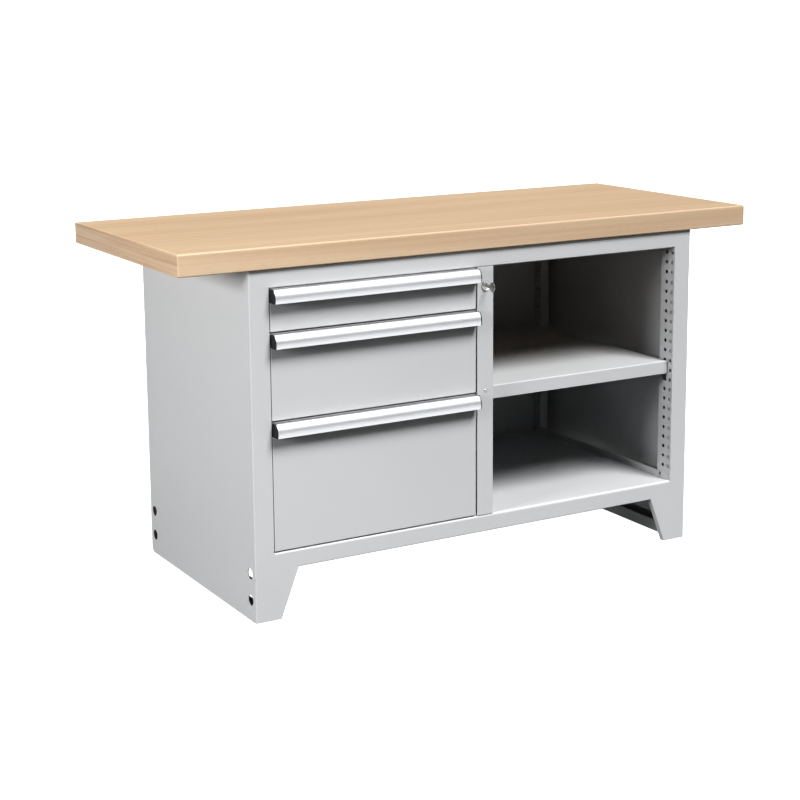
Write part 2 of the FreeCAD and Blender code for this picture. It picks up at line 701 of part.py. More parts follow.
doc.recompute()
for item in doc.Objects:
    if "Invalid" in item.State or "Error" in item.State:
        raise RuntimeError(f"{item.Label} has state {item.State}")
os.makedirs("parts", exist_ok=True)
for item in NODES:
    shape = item.Shape
    if shape.isNull() or not shape.isValid() or not shape.Solids:
        raise RuntimeError(f"{item.Label} has no valid solid")
    shape.exportStep(f"parts/{item.Label}.step")
    print(f"{item.Label}: {len(shape.Solids)} solid(s), {shape.Volume / 1000:.1f} cm3")
print(f"{len(NODES)} nodes")
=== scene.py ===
import json
import math
import bmesh
import bpy
from mathutils import Matrix, Vector


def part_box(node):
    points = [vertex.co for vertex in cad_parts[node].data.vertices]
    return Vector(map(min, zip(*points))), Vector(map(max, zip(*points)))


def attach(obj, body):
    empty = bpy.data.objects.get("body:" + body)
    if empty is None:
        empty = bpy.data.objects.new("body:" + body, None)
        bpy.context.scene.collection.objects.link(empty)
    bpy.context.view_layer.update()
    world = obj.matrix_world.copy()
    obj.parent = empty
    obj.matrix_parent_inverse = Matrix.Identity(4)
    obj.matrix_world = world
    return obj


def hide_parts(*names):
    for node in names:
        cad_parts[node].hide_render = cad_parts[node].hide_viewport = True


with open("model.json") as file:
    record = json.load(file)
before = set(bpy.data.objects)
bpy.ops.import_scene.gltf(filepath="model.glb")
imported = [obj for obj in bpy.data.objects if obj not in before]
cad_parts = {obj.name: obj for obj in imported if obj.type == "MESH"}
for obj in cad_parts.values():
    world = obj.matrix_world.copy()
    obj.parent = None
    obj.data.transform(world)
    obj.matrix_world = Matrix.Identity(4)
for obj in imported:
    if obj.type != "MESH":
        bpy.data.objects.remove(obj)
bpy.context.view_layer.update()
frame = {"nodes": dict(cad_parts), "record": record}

mm = 0.001


# small helpers

def linear(code):
    # an sRGB hex such as "#cfd2d4" to the linear RGBA that the nodes expect
    shades = [int(code[i:i + 2], 16) / 255 for i in (1, 3, 5)]
    return tuple(s / 12.92 if s <= 0.04045 else ((s + 0.055) / 1.055) ** 2.4 for s in shades) + (1,)


def addNode(tree, kind, settings=None, links=None):
    # lower-case keys are the node's own settings, the others its inputs by name or number
    made = tree.nodes.new(kind)
    for key, value in (settings or {}).items():
        if key == "stops":
            ramp = made.color_ramp
            while len(ramp.elements) < len(value):
                ramp.elements.new(0.5)
            for stop, (place, colour) in zip(ramp.elements, value):
                stop.position, stop.color = place, colour
        elif isinstance(key, str) and key[0].islower():
            setattr(made, key, value)
        else:
            made.inputs[key].default_value = value
    for key, source in (links or {}).items():
        tree.links.new(source, made.inputs[key])
    return made


def startMaterial(name, values):
    # a material with its shader set, and the coordinates its patterns are laid in
    material = bpy.data.materials.new(name)
    material.use_nodes = True
    tree = material.node_tree
    shader = tree.nodes["Principled BSDF"]
    for socket, value in values.items():
        shader.inputs[socket].default_value = value
    place = addNode(tree, "ShaderNodeTexCoord").outputs["Object"]
    return material, tree, shader, place


def finishMaterial(tree, shader, look, colour, sheen, relief):
    # what every finish ends with: its colour, a roughness that wanders with one pattern and a
    # bump from another
    rough, wander = look["roughness"], look["wander"]
    gloss = addNode(tree, "ShaderNodeMapRange", {"To Min": rough - wander, "To Max": rough + wander},
                    {"Value": sheen})
    bumps = addNode(tree, "ShaderNodeBump", {"Strength": look["bump"], "Distance": look["bumpDepth"] * mm},
                    {"Height": relief})
    for socket, source in (("Base Color", colour), ("Roughness", gloss.outputs["Result"]),
                           ("Normal", bumps.outputs["Normal"])):
        tree.links.new(source, shader.inputs[socket])


def stretched(sizes):
    # the scale of a pattern whose features are this long, in mm, along X, Y and Z
    return [1 / (size * mm) for size in sizes]


def roundPath(points, radii, steps=4, support=0.4 * mm):
    # an open path of 2-D points with its inner corners rounded; a short run each side of a
    # rounding keeps the flats next to it flat in the shading
    path = [Vector(points[0])]
    for before, corner, after, radius in zip(points, points[1:], points[2:], radii):
        before, corner, after = Vector(before), Vector(corner), Vector(after)
        if radius <= 0:
            path.append(corner)
            continue
        back, ahead = (before - corner).normalized(), (after - corner).normalized()
        half = math.acos(max(-1, min(1, back.dot(ahead)))) / 2
        run = radius / math.tan(half)
        centre = corner + (back + ahead).normalized() * (radius / math.sin(half))
        start, end = corner + back * run - centre, corner + ahead * run - centre
        path.append(corner + back * (run + support))
        turn = start.angle_signed(end)
        for i in range(steps + 1):
            path.append(centre + Matrix.Rotation(-turn * i / steps, 2) @ start)
        path.append(corner + ahead * (run + support))
    path.append(Vector(points[-1]))
    return path


def finishMesh(shape, name, sharpFrom=40):
    # merged, facing out, smooth up to an angle in degrees
    bmesh.ops.remove_doubles(shape, verts=shape.verts, dist=1e-6)
    bmesh.ops.recalc_face_normals(shape, faces=shape.faces)
    mesh = bpy.data.meshes.new(name)
    shape.to_mesh(mesh)
    shape.free()
    mesh.polygons.foreach_set("use_smooth", [True] * len(mesh.polygons))
    mesh.set_sharp_from_angle(angle=math.radians(sharpFrom))
    return mesh


def skinLoops(shape, loops, closed=False):
    # faces between one loop of points and the next, with the ends capped or joined up
    rings = [[shape.verts.new(p) for p in loop] for loop in loops]
    for low, high in zip(rings, rings[1:]):
        for i in range(len(low)):
            shape.faces.new((low[i - 1], low[i], high[i], high[i - 1]))
    if closed:
        for i in range(len(rings[0])):
            shape.faces.new((rings[-1][i - 1], rings[-1][i], rings[0][i], rings[0][i - 1]))
    else:
        shape.faces.new(rings[0])
        shape.faces.new(rings[-1])


def pressedShell(name, low, high, axis, path, corner, cornerSteps=4):
    # a sheet or board with a rectangular outline: each (inset, level) of the path is one loop,
    # the inset from the outline, the level along the axis
    a, b = [i for i in range(3) if i != axis]
    loops = []
    for inset, level in path:
        loop = []
        radius = max(corner - inset, 0.05 * mm)
        for turn, (sideA, sideB) in enumerate(((1, 1), (-1, 1), (-1, -1), (1, -1))):
            centreA = (high[a] - inset - radius) if sideA > 0 else (low[a] + inset + radius)
            centreB = (high[b] - inset - radius) if sideB > 0 else (low[b] + inset + radius)
            for i in range(cornerSteps + 1):
                angle = math.pi / 2 * (turn + i / cornerSteps)
                point = Vector((0, 0, 0))
                point[axis] = level
                point[a] = centreA + radius * math.cos(angle)
                point[b] = centreB + radius * math.sin(angle)
                loop.append(point)
        loops.append(loop)
    shape = bmesh.new()
    skinLoops(shape, loops)
    return finishMesh(shape, name)


def turned(name, centre, path, steps=40):
    # a ring turned round an axis along Y; the path closes on itself: (radius, y)
    loops = [[Vector((centre[0] + radius * math.sin(2 * math.pi * i / steps), y,
                      centre[1] + radius * math.cos(2 * math.pi * i / steps)))
              for i in range(steps)] for radius, y in path]
    shape = bmesh.new()
    skinLoops(shape, loops, closed=True)
    return finishMesh(shape, name, 30)


def drawnProfile(name, outline, low, high, edge=0):
    # an outline of (y, z) points drawn along X, its two ends eased by `edge`
    shape = bmesh.new()
    start = [shape.verts.new((low, y, z)) for y, z in outline]
    shape.faces.new(start)
    end = [shape.verts.new((high, y, z)) for y, z in outline]
    shape.faces.new(end)
    for i in range(len(outline)):
        shape.faces.new((start[i - 1], start[i], end[i], end[i - 1]))
    if edge:
        bmesh.ops.recalc_face_normals(shape, faces=shape.faces)
        rims = [e for e in shape.edges if abs(e.verts[0].co.x - e.verts[1].co.x) < 1e-7]
        bmesh.ops.bevel(shape, geom=rims, offset=edge, segments=2, affect="EDGES", profile=0.5)
    return finishMesh(shape, name, 30)


def flatPlate(name, splines, thickness, ease, place):
    # closed outlines, the first with the others as holes in it, cut from plate with eased edges
    curve = bpy.data.curves.new(name, "CURVE")
    curve.dimensions = "2D"
    curve.fill_mode = "BOTH"
    curve.extrude = thickness / 2 - ease
    curve.bevel_depth = ease
    curve.bevel_resolution = 1
    curve.offset = -ease
    for points in splines:
        spline = curve.splines.new("POLY")
        spline.points.add(len(points) - 1)
        for point, (x, y) in zip(spline.points, points):
            point.co = (x, y, 0, 1)
        spline.use_cyclic_u = True
    blank = bpy.data.objects.new(name, curve)
    bpy.context.scene.collection.objects.link(blank)
    bpy.context.view_layer.update()
    made = bpy.data.meshes.new_from_object(blank.evaluated_get(bpy.context.evaluated_depsgraph_get()))
    bpy.data.objects.remove(blank)
    made.transform(place)
    shape = bmesh.new()
    shape.from_mesh(made)
    bpy.data.meshes.remove(made)
    return finishMesh(shape, name, 35)


def circle(x, y, radius, steps=32):
    # a closed outline of points round a centre
    angles = [2 * math.pi * i / steps for i in range(steps)]
    return [(x + radius * math.cos(angle), y + radius * math.sin(angle)) for angle in angles]


def makePiece(name, mesh, material, body, slot, *replaced):
    # one named piece, riding on a body of the frame and standing in for the CAD nodes it replaces
    piece = bpy.data.objects.new(name, mesh)
    bpy.context.scene.collection.objects.link(piece)
    if material:
        mesh.materials.clear()
        mesh.materials.append(material)
    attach(piece, body)
    if replaced:
        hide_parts(*replaced)
    return piece


def solidBoxes(node):
    # lowest and highest corner of each separate solid in a CAD node
    shape = bmesh.new()
    shape.from_mesh(frame["nodes"][node].data)
    bmesh.ops.remove_doubles(shape, verts=shape.verts, dist=1e-5)
    left, boxes = set(shape.verts), []
    while left:
        found, edge = [], [left.pop()]
        while edge:
            vert = edge.pop()
            found.append(vert.co.copy())
            for near in (link.other_vert(vert) for link in vert.link_edges):
                if near in left:
                    left.remove(near)
                    edge.append(near)
        boxes.append((Vector(map(min, *found)), Vector(map(max, *found))))
    shape.free()
    return sorted(boxes, key=lambda box: tuple(box[0]))


def grown(name, points, tree, values, lines=(), facing=None):
    # the mesh that a Geometry Nodes tree grows on these points or lines
    mesh = bpy.data.meshes.new(name)
    mesh.from_pydata(points, lines, [])
    if facing:
        mesh.attributes.new("facing", "FLOAT_VECTOR", "POINT").data.foreach_set(
            "vector", [c for way in facing for c in way])
    seed = bpy.data.objects.new(name, mesh)
    bpy.context.scene.collection.objects.link(seed)
    growth = seed.modifiers.new(tree.name, "NODES")
    growth.node_group = tree
    sockets = {item.name: item.identifier for item in tree.interface.items_tree
               if item.item_type == "SOCKET" and item.in_out == "INPUT"}
    for key, value in values.items():
        growth[sockets[key]] = value
    bpy.context.view_layer.update()
    made = bpy.data.meshes.new_from_object(seed.evaluated_get(bpy.context.evaluated_depsgraph_get()))
    made.name = name
    seed.modifiers.remove(growth)
    bpy.data.objects.remove(seed)
    bpy.data.meshes.remove(mesh)
    return made


def startTree(name, inputs):
    # a Geometry Nodes tree with these named inputs; each value gives its input's kind
    kinds = {float: "NodeSocketFloat", int: "NodeSocketInt", bpy.types.Material: "NodeSocketMaterial"}
    tree = bpy.data.node_groups.new(name, "GeometryNodeTree")
    tree.interface.new_socket("Geometry", in_out="INPUT", socket_type="NodeSocketGeometry")
    for label, value in inputs.items():
        socket = tree.interface.new_socket(label, in_out="INPUT", socket_type=kinds[type(value)])
        socket.default_value = value
    tree.interface.new_socket("Geometry", in_out="OUTPUT", socket_type="NodeSocketGeometry")
    return tree, addNode(tree, "NodeGroupInput").outputs


# materials

coat = {"light": "#c8c9ca", "dark": "#c2c3c4", "patch": 420, "peel": 1.6, "speck": 2.4, "speckShare": 0.35,
        "darkBelow": 0.3, "roughness": 0.48, "wander": 0.06, "bump": 0.25, "bumpDepth": 0.08}

# grey polyester powder coat, sprayed and baked on sheet steel: a soft satin sheen broken up by a fine
# orange peel.  The peel is about 1 mm in life and drawn at 1.6 mm so that it shows.
powderCoat, tree, shader, place = startMaterial("powderCoat", {"IOR": 1.5, "Specular IOR Level": 0.45})
patches, specks, peel = (
    addNode(tree, "ShaderNodeTexNoise", {"Scale": 1 / (coat[size] * mm), "Detail": detail},
            {"Vector": place}).outputs["Fac"]
    for size, detail in (("patch", 2.0), ("speck", 1.0), ("peel", 1.5)))
blend = addNode(tree, "ShaderNodeMath", {"operation": "MULTIPLY_ADD", 1: coat["speckShare"]},
                {0: specks, 2: patches})
tone = addNode(tree, "ShaderNodeValToRGB",
               {"stops": [(coat["darkBelow"], linear(coat["dark"])), (1.0, linear(coat["light"]))]},
               {"Fac": blend.outputs[0]})
finishMaterial(tree, shader, coat, tone.outputs["Color"], patches, peel)

# lengths along X, Y and Z in mm; ranges of a pattern between its lowest and its full effect
wood = {"tones": [(0.4, "#bda487"), (0.8, "#c7af95"), (1.0, "#cdb79d")], "fleck": "#ad9176", "end": "#b2977a",
        "streak": (900, 9, 9), "figure": (1500, 160, 45), "pore": (14, 1.6, 1.6), "lipping": (9, 500, 7),
        "streakShare": 0.7, "distortion": 0.15, "fleckRange": (0.62, 0.74), "fleckMost": 0.3,
        "lippingRange": (0.35, 0.7), "lippingLeast": 0.25, "endFacing": (0.6, 0.8),
        "roughness": 0.5, "wander": -0.08, "bump": 0.2, "bumpDepth": 0.15}

# steamed beech, planed, glued and oiled: warm and nearly even, with long faint streaks along the
# boards and short darker flecks.  The flecks are 3 x 0.5 mm in life and drawn larger to show.
beech, tree, shader, place = startMaterial("oiledBeech", {"IOR": 1.5, "Specular IOR Level": 0.4})
layers = {}
for name, detail in (("streak", 3.0), ("figure", 1.0), ("pore", 1.0), ("lipping", 1.0)):
    stretch = addNode(tree, "ShaderNodeMapping", {"Scale": stretched(wood[name])}, {"Vector": place})
    layers[name] = addNode(tree, "ShaderNodeTexNoise",
                           {"Scale": 1.0, "Detail": detail, "Distortion": wood["distortion"]},
                           {"Vector": stretch.outputs[0]}).outputs["Fac"]
mixed = addNode(tree, "ShaderNodeMath", {"operation": "MULTIPLY_ADD", 1: wood["streakShare"]},
                {0: layers["streak"], 2: layers["figure"]})
tone = addNode(tree, "ShaderNodeValToRGB",
               {"stops": [(level, linear(code)) for level, code in wood["tones"]]}, {"Fac": mixed.outputs[0]})
flecks = addNode(tree, "ShaderNodeMapRange",
                 {"From Min": wood["fleckRange"][0], "From Max": wood["fleckRange"][1],
                  "To Max": wood["fleckMost"]}, {"Value": layers["pore"]})
colour = addNode(tree, "ShaderNodeMix", {"data_type": "RGBA", 7: linear(wood["fleck"])},
                 {0: flecks.outputs["Result"], 6: tone.outputs["Color"]})

# the ends have a lipping with its grain along the short side: a little darker, with its own streaks
normal = addNode(tree, "ShaderNodeNewGeometry").outputs["Normal"]
sides = addNode(tree, "ShaderNodeSeparateXYZ", {}, {0: normal})
endOn = addNode(tree, "ShaderNodeMath", {"operation": "ABSOLUTE"}, {0: sides.outputs["X"]})
streaks = addNode(tree, "ShaderNodeMapRange",
                  {"From Min": wood["lippingRange"][0], "From Max": wood["lippingRange"][1],
                   "To Min": wood["lippingLeast"], "To Max": 1.0}, {"Value": layers["lipping"]})
ends = addNode(tree, "ShaderNodeMapRange",
               {"From Min": wood["endFacing"][0], "From Max": wood["endFacing"][1]},
               {"Value": endOn.outputs[0], "To Max": streaks.outputs["Result"]})
colour = addNode(tree, "ShaderNodeMix", {"data_type": "RGBA", 7: linear(wood["end"])},
                 {0: ends.outputs["Result"], 6: colour.outputs[2]})
finishMaterial(tree, shader, wood, colour.outputs[2], layers["streak"], layers["pore"])

grip = {"colour": "#cbccce", "shade": "#bdbfc1", "line": (420, 1.3, 1.3), "roughness": 0.46, "wander": 0.08,
        "bump": 0.2, "bumpDepth": 0.05}

# natural anodised aluminium, extruded: a bright satin white metal with fine draw lines along its
# length.  The lines are hair thin in life and drawn 1.3 mm apart so that they show.
anodisedAluminium, tree, shader, place = startMaterial("anodisedAluminium", {"Metallic": 1.0})
stretch = addNode(tree, "ShaderNodeMapping", {"Scale": stretched(grip["line"])}, {"Vector": place})
lines = addNode(tree, "ShaderNodeTexNoise", {"Scale": 1.0, "Detail": 3.0},
                {"Vector": stretch.outputs[0]}).outputs["Fac"]
colour = addNode(tree, "ShaderNodeMix",
                 {"data_type": "RGBA", 6: linear(grip["shade"]), 7: linear(grip["colour"])}, {0: lines})
finishMaterial(tree, shader, grip, colour.outputs[2], lines, lines)

plastic = {"colour": "#131415", "worn": "#202224", "grain": 0.9, "roughness": 0.5, "wander": 0.07,
           "bump": 0.3, "bumpDepth": 0.05}

# black moulded ABS with a fine spark-eroded grain: a dull black that catches a soft grey edge light
blackPlastic, tree, shader, place = startMaterial("mouldedPlastic", {"IOR": 1.53})
grain = addNode(tree, "ShaderNodeTexNoise", {"Scale": 1 / (plastic["grain"] * mm), "Detail": 2.0},
                {"Vector": place}).outputs["Fac"]
colour = addNode(tree, "ShaderNodeMix",
                 {"data_type": "RGBA", 6: linear(plastic["colour"]), 7: linear(plastic["worn"])}, {0: grain})
finishMaterial(tree, shader, plastic, colour.outputs[2], grain, grain)

# The bare metals share one build: a mottled finish from a cell pattern with finer noise on top.
bare = {"cellShare": 0.5, "finer": 4, "wander": 0.05, "bump": 0.15, "bumpDepth": 0.02}
metals = {
    # bright zinc, electroplated on cold-rolled steel: cool blue-grey with a faint mottle
    "zincPlate": {"colour": "#b9bec3", "shade": "#a3a9af", "grain": 6.0, "roughness": 0.36},
    # dull nickel over brass: a soft grey mirror with the faintest warmth and fine handling marks
    "nickelPlate": {"colour": "#b7b6b3", "shade": "#9c9b98", "grain": 3.0, "roughness": 0.3},
    # ground and polished bearing steel: a clean hard sparkle
    "ballSteel": {"colour": "#d3d5d7", "shade": "#bdc0c3", "grain": 1.0, "roughness": 0.14},
}
finishes = {}
for name, look in metals.items():
    finishes[name], tree, shader, place = startMaterial(name, {"Metallic": 1.0})
    cells = addNode(tree, "ShaderNodeTexVoronoi", {"Scale": 1 / (look["grain"] * mm)}, {"Vector": place})
    marks = addNode(tree, "ShaderNodeTexNoise",
                    {"Scale": bare["finer"] / (look["grain"] * mm), "Detail": 3.0},
                    {"Vector": place}).outputs["Fac"]
    mottle = addNode(tree, "ShaderNodeMath", {"operation": "MULTIPLY_ADD", 1: bare["cellShare"]},
                     {0: cells.outputs["Distance"], 2: marks})
    colour = addNode(tree, "ShaderNodeMix",
                     {"data_type": "RGBA", 6: linear(look["shade"]), 7: linear(look["colour"])},
                     {0: mottle.outputs[0]})
    finishMaterial(tree, shader, {**bare, **look}, colour.outputs[2], marks, marks)

slotFinish = {"beech": beech, "grey_powder_coat": powderCoat, "aluminium": anodisedAluminium,
              "black_plastic": blackPlastic, "zinc_plated_steel": finishes["zincPlate"],
              "nickel": finishes["nickelPlate"]}
slotOfNode = {part["node"]: part["material_slot"] for part in frame["record"]["subparts"]}
print("materials made:", len(slotFinish) + 1)

# worktop

board = {"topRound": 4.0, "footRound": 2.5, "corner": 4.0, "support": 1.5}

low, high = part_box("worktop")
middle = (high[0] - low[0]) / 4
path = roundPath([(middle, low[2]), (0, low[2]), (0, high[2]), (middle, high[2])],
                 [board["footRound"] * mm, board["topRound"] * mm], support=board["support"] * mm)
makePiece("worktopBoard", pressedShell("worktopBoard", low, high, 2, path[1:-1], board["corner"] * mm),
          beech, "frame", "beech", "worktop")
print("worktop made")

# drawers

front = {"wall": 1.2, "round": 2.0, "corner": 2.0}
tray = {"wall": 1.0, "hemWidth": 6.0, "hemDrop": 9.0, "hemRound": 1.5, "round": 2.5, "corner": 4.0}
handle = {"height": 31, "reach": 26, "radius": 28, "drop": 22, "wall": 2, "leg": 24, "ridge": 1.6,
          "ridgeSupport": 0.05, "capEase": 0.5, "steps": 16}
inward = 20 * mm  # how far the two end points of a pressed path lie inside the outline


def arcPoints(centre, radius, start, end, steps):
    # start and end are heights relative to the centre; the arc bulges towards the front
    first, last = math.asin(start / radius), math.asin(end / radius)
    return [(centre[0] - radius * math.cos(first + (last - first) * i / steps),
             centre[1] + radius * math.sin(first + (last - first) * i / steps)) for i in range(steps + 1)]


def handleOutline(faceY, topZ, hollow):
    # section of the grip: a curved hood hung from a flat leg, or the filled shape of its end caps
    size = {key: value * mm for key, value in handle.items() if key != "steps"}
    centre = (faceY - size["reach"] + size["radius"], topZ - size["drop"])
    below = size["drop"] - size["height"]
    outer = arcPoints(centre, size["radius"], size["drop"], below, handle["steps"])
    ridge = roundPath([(faceY, topZ), outer[0], outer[1]], [size["ridge"]], 3, size["ridgeSupport"])
    outline = [tuple(p) for p in ridge[:-1]] + outer[1:]
    if not hollow:
        return outline + [(faceY, topZ - size["height"])]
    inner = arcPoints(centre, size["radius"] - size["wall"], below, size["drop"] - size["wall"],
                      handle["steps"])
    return outline + inner + [(faceY - size["wall"], topZ - size["wall"]),
                              (faceY - size["wall"], topZ - size["leg"]), (faceY, topZ - size["leg"])]


for name in ("bottom", "middle", "top"):
    body = f"drawer_{name}"
    low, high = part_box(f"{body}_front")
    wall, soft = front["wall"] * mm, front["round"] * mm
    path = roundPath([(inward, low[1] + wall), (wall, low[1] + wall), (wall, high[1]), (0, high[1]),
                      (0, low[1]), (inward, low[1])], [soft - wall, 0, 0, soft])
    makePiece(f"{body}_frontPanel",
              pressedShell(f"{body}_frontPanel", low, high, 1, path[1:-1], front["corner"] * mm),
              powderCoat, body, "grey_powder_coat", f"{body}_front")

    low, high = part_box(f"{body}_box")
    wall, hem, drop = tray["wall"] * mm, tray["hemWidth"] * mm, tray["hemDrop"] * mm
    path = roundPath([(inward, low[2] + wall), (wall, low[2] + wall), (wall, high[2] - wall),
                      (hem - wall, high[2] - wall), (hem - wall, high[2] - drop), (hem, high[2] - drop),
                      (hem, high[2]), (0, high[2]), (0, low[2]), (inward, low[2])],
                     [(tray["round"] - tray["wall"]) * mm, 0, 0, 0, 0, tray["hemRound"] * mm,
                      tray["hemRound"] * mm, tray["round"] * mm])
    makePiece(f"{body}_tray", pressedShell(f"{body}_tray", low, high, 2, path[1:-1], tray["corner"] * mm),
              powderCoat, body, "grey_powder_coat", f"{body}_box")

    low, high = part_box(f"{body}_handle")
    profile = handleOutline(high[1], high[2], True)
    makePiece(f"{body}_grip", drawnProfile(f"{body}_grip", profile, low[0], high[0]),
              anodisedAluminium, body, "aluminium", f"{body}_handle")
    caps = bmesh.new()
    for capLow, capHigh in solidBoxes(f"{body}_handle_caps"):
        profile = handleOutline(capHigh[1], capHigh[2], False)
        cap = drawnProfile("cap", profile, capLow[0], capHigh[0], handle["capEase"] * mm)
        caps.from_mesh(cap)
        bpy.data.meshes.remove(cap)
    makePiece(f"{body}_gripCaps", finishMesh(caps, f"{body}_gripCaps", 30), blackPlastic, body,
              "black_plastic", f"{body}_handle_caps")
    print("drawer made:", name)

# runner balls

balls = {"diameter": 2.5, "spacing": 13.0, "cageWidth": 4.6, "cageSheet": 0.6, "runLength": 236, "inset": 8,
         "gap": 2.8, "outerReach": 3.0, "innerReach": 4.4, "lip": 1.2}

# a strip with balls let into it, along each line of the seed mesh
cageInputs = {"Ball Diameter": balls["diameter"] * mm, "Spacing": balls["spacing"] * mm,
              "Cage Width": balls["cageWidth"] * mm, "Cage Sheet": balls["cageSheet"] * mm,
              "Material": finishes["ballSteel"]}
tree, given = startTree("ballCage", cageInputs)
rows = addNode(tree, "GeometryNodeMeshToCurve", {}, {"Mesh": given["Geometry"]})
flatRows = addNode(tree, "GeometryNodeSetCurveNormal", {"mode": "Z_UP"}, {"Curve": rows.outputs[0]})
seats = addNode(tree, "GeometryNodeResampleCurve", {"mode": "LENGTH"},
                {"Curve": flatRows.outputs[0], "Length": given["Spacing"]})
half = addNode(tree, "ShaderNodeMath", {"operation": "MULTIPLY", 1: 0.5}, {0: given["Ball Diameter"]})
ball = addNode(tree, "GeometryNodeMeshUVSphere", {"Segments": 10, "Rings": 6}, {"Radius": half.outputs[0]})
softBall = addNode(tree, "GeometryNodeSetShadeSmooth", {}, {"Geometry": ball.outputs["Mesh"]})
placed = addNode(tree, "GeometryNodeInstanceOnPoints", {},
                 {"Points": seats.outputs[0], "Instance": softBall.outputs[0]})
section = addNode(tree, "GeometryNodeCurvePrimitiveQuadrilateral", {},
                  {"Width": given["Cage Width"], "Height": given["Cage Sheet"]})
strip = addNode(tree, "GeometryNodeCurveToMesh", {"Fill Caps": True},
                {"Curve": flatRows.outputs[0], "Profile Curve": section.outputs[0]})
together = addNode(tree, "GeometryNodeJoinGeometry", {}, {0: placed.outputs[0]})
tree.links.new(strip.outputs[0], together.inputs[0])
real = addNode(tree, "GeometryNodeRealizeInstances", {}, {0: together.outputs[0]})
coated = addNode(tree, "GeometryNodeSetMaterial", {},
                 {"Geometry": real.outputs[0], "Material": given["Material"]})
addNode(tree, "NodeGroupOutput", {}, {0: coated.outputs[0]})
cageTree = tree

for name in ("bottom", "middle", "top"):
    points, lines = [], []
    for side, (low, high) in enumerate(solidBoxes(f"runner_{name}_middle")):
        web, way = (low[0], 1) if side == 0 else (high[0], -1)
        run, inset, gap = balls["runLength"] * mm, balls["inset"] * mm, balls["gap"] * mm / 2
        for reach, lift, start in ((balls["outerReach"] * mm, gap, high[1] - inset - run),
                                   (balls["innerReach"] * mm, -balls["lip"] * mm - gap, low[1] + inset)):
            for level in (high[2] + lift, low[2] - lift):
                lines.append((len(points), len(points) + 1))
                points += [(web + reach * way, start, level), (web + reach * way, start + run, level)]
    made = grown(f"runner_{name}_balls", points, cageTree, cageInputs, lines=lines)
    makePiece(f"runner_{name}_balls", made, None, f"runner_{name}", "zinc_plated_steel")
print("runner balls made")

# screws

screw = {"headRadius": 4.5, "headHeight": 2.0, "driveWidth": 5.2, "driveSlot": 1.1, "driveDepth": 1.3,
         "shankRadius": 2.4, "sink": 0.8, "domePower": 2.6, "domeDraw": -0.34, "mostTurn": 1.5, "seed": 7,
         "sharpFrom": 35}
# each group of screws: length of shank in mm, and the way its heads face
screwNodes = {"worktop_screws": (25, lambda box: Vector((0, 0, -1))),
              "back_panel_screws": (5, lambda box: Vector((0, 1, 0))),
              "floor_screws": (5, lambda box: Vector((-1 if box[0][0] > 0 else 1, 0, 0))),
              "stile_screw": (5, lambda box: Vector((0, -1, 0)))}

# a pan head with a cross recess on every seed point, each turned at random about its axis
screwInputs = {"Head Radius": screw["headRadius"] * mm, "Head Height": screw["headHeight"] * mm,
               "Drive Width": screw["driveWidth"] * mm, "Drive Slot": screw["driveSlot"] * mm,
               "Drive Depth": screw["driveDepth"] * mm, "Shank Radius": screw["shankRadius"] * mm,
               "Shank Length": 5 * mm, "Seed": screw["seed"], "Material": finishes["zincPlate"]}
tree, given = startTree("panHeadScrews", screwInputs)
blank = addNode(tree, "GeometryNodeMeshCylinder", {"Vertices": 24, "Side Segments": 5},
                {"Radius": given["Head Radius"], "Depth": given["Head Height"]})
where = addNode(tree, "GeometryNodeInputPosition")
parts = addNode(tree, "ShaderNodeSeparateXYZ", {}, {0: where.outputs[0]})
share = addNode(tree, "ShaderNodeMath", {"operation": "DIVIDE"},
                {0: parts.outputs["Z"], 1: given["Head Height"]})
rise = addNode(tree, "ShaderNodeMath", {"operation": "ADD", 1: 0.5}, {0: share.outputs[0]})
curved = addNode(tree, "ShaderNodeMath", {"operation": "POWER", 1: screw["domePower"]}, {0: rise.outputs[0]})
draw = addNode(tree, "ShaderNodeMath", {"operation": "MULTIPLY_ADD", 1: screw["domeDraw"], 2: 1.0},
               {0: curved.outputs[0]})
spread = addNode(tree, "ShaderNodeCombineXYZ", {2: 1.0}, {0: draw.outputs[0], 1: draw.outputs[0]})
pulled = addNode(tree, "ShaderNodeVectorMath", {"operation": "MULTIPLY"},
                 {0: where.outputs[0], 1: spread.outputs[0]})
dome = addNode(tree, "GeometryNodeSetPosition", {},
               {"Geometry": blank.outputs["Mesh"], "Position": pulled.outputs[0]})
head = addNode(tree, "GeometryNodeMeshBoolean", {"operation": "DIFFERENCE", "solver": "EXACT"},
               {0: dome.outputs[0]})
depth = addNode(tree, "ShaderNodeMath", {"operation": "MULTIPLY", 1: 2.0}, {0: given["Drive Depth"]})
top = addNode(tree, "ShaderNodeMath", {"operation": "MULTIPLY", 1: 0.5}, {0: given["Head Height"]})
up = addNode(tree, "ShaderNodeCombineXYZ", {}, {2: top.outputs[0]})
for first, second in (("Drive Width", "Drive Slot"), ("Drive Slot", "Drive Width")):
    size = addNode(tree, "ShaderNodeCombineXYZ", {}, {0: given[first], 1: given[second], 2: depth.outputs[0]})
    bar = addNode(tree, "GeometryNodeMeshCube", {}, {"Size": size.outputs[0]})
    cut = addNode(tree, "GeometryNodeTransform", {},
                  {"Geometry": bar.outputs["Mesh"], "Translation": up.outputs[0]})
    tree.links.new(cut.outputs[0], head.inputs[1])
shank = addNode(tree, "GeometryNodeMeshCylinder", {"Vertices": 12},
                {"Radius": given["Shank Radius"], "Depth": given["Shank Length"]})
sunk = addNode(tree, "ShaderNodeMath", {"operation": "MULTIPLY_ADD", 1: -0.5, 2: -screw["sink"] * mm},
               {0: given["Shank Length"]})
down = addNode(tree, "ShaderNodeCombineXYZ", {}, {2: sunk.outputs[0]})
lowered = addNode(tree, "GeometryNodeTransform", {},
                  {"Geometry": shank.outputs["Mesh"], "Translation": down.outputs[0]})
whole = addNode(tree, "GeometryNodeJoinGeometry", {}, {0: head.outputs[0]})
